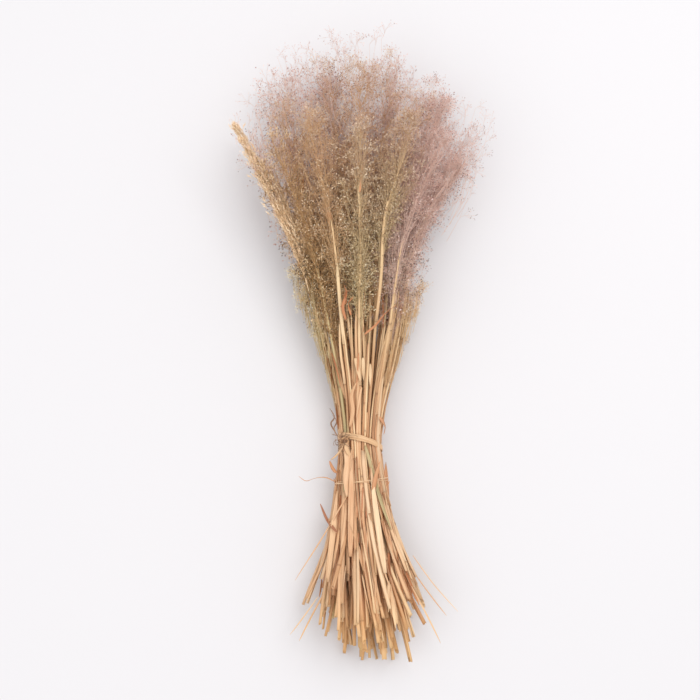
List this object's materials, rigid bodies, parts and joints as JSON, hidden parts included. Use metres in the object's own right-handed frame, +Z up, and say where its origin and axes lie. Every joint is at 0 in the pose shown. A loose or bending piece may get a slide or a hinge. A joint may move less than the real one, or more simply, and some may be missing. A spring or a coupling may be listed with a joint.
{
  "type": "bundle of dried bent grass",
  "caption": "Bundle of dried grass stalks with airy branching heads, tied near the middle with a band of straw and lying on its side.",
  "frame": {"origin": "under the middle of the bundle's box, on the surface that it lies on", "axes": "+Y from the cut ends of the stems to the tips of the heads; +Z up from the surface; +X to the right when the cut ends are nearest"},
  "size_m": [0.2492, 0.619, 0.1163],
  "materials": {
    "stem": "dry straw, satin",
    "head_wheat": "dry, airy, matte",
    "head_olive": "dry, airy, matte",
    "head_sage": "dry, airy, matte",
    "head_mauve": "dry, airy, matte",
    "leaf": "dry leaf, matte with fine ribs",
    "band": "straw strip, satin",
    "thread": "dry fibre, matte"
  },
  "bodies": {
    "root": {"stem_01": "stem", "head_01": "head_olive", "stem_02": "stem", "head_02": "head_olive", "stem_03": "stem", "head_03": "head_olive", "stem_04": "stem", "head_04": "head_mauve", "stem_05": "stem", "head_05": "head_mauve", "stem_06": "stem", "head_06": "head_mauve", "stem_07": "stem", "head_07": "head_olive", "stem_08": "stem", "head_08": "head_olive", "stem_09": "stem", "head_09": "head_olive", "stem_10": "stem", "head_10": "head_olive", "stem_11": "stem", "head_11": "head_mauve", "stem_12": "stem", "head_12": "head_mauve", "stem_13": "stem", "head_13": "head_mauve", "stem_14": "stem", "head_14": "head_mauve", "stem_15": "stem", "head_15": "head_mauve", "stem_16": "stem", "head_16": "head_mauve", "stem_17": "stem", "head_17": "head_mauve", "stem_18": "stem", "head_18": "head_mauve", "stem_19": "stem", "head_19": "head_sage", "stem_20": "stem", "head_20": "head_sage", "stem_21": "stem", "head_21": "head_olive", "stem_22": "stem", "head_22": "head_wheat", "stem_23": "stem", "head_23": "head_wheat", "stem_24": "stem", "head_24": "head_wheat", "stem_25": "stem", "head_25": "head_mauve", "stem_26": "stem", "head_26": "head_mauve", "stem_27": "stem", "head_27": "head_mauve", "tie_band": "band", "tie_knot": "band", "lower_thread": "thread", "leaf_1": "leaf", "leaf_2": "leaf", "leaf_3": "leaf"}
  },
  "joints": []
}
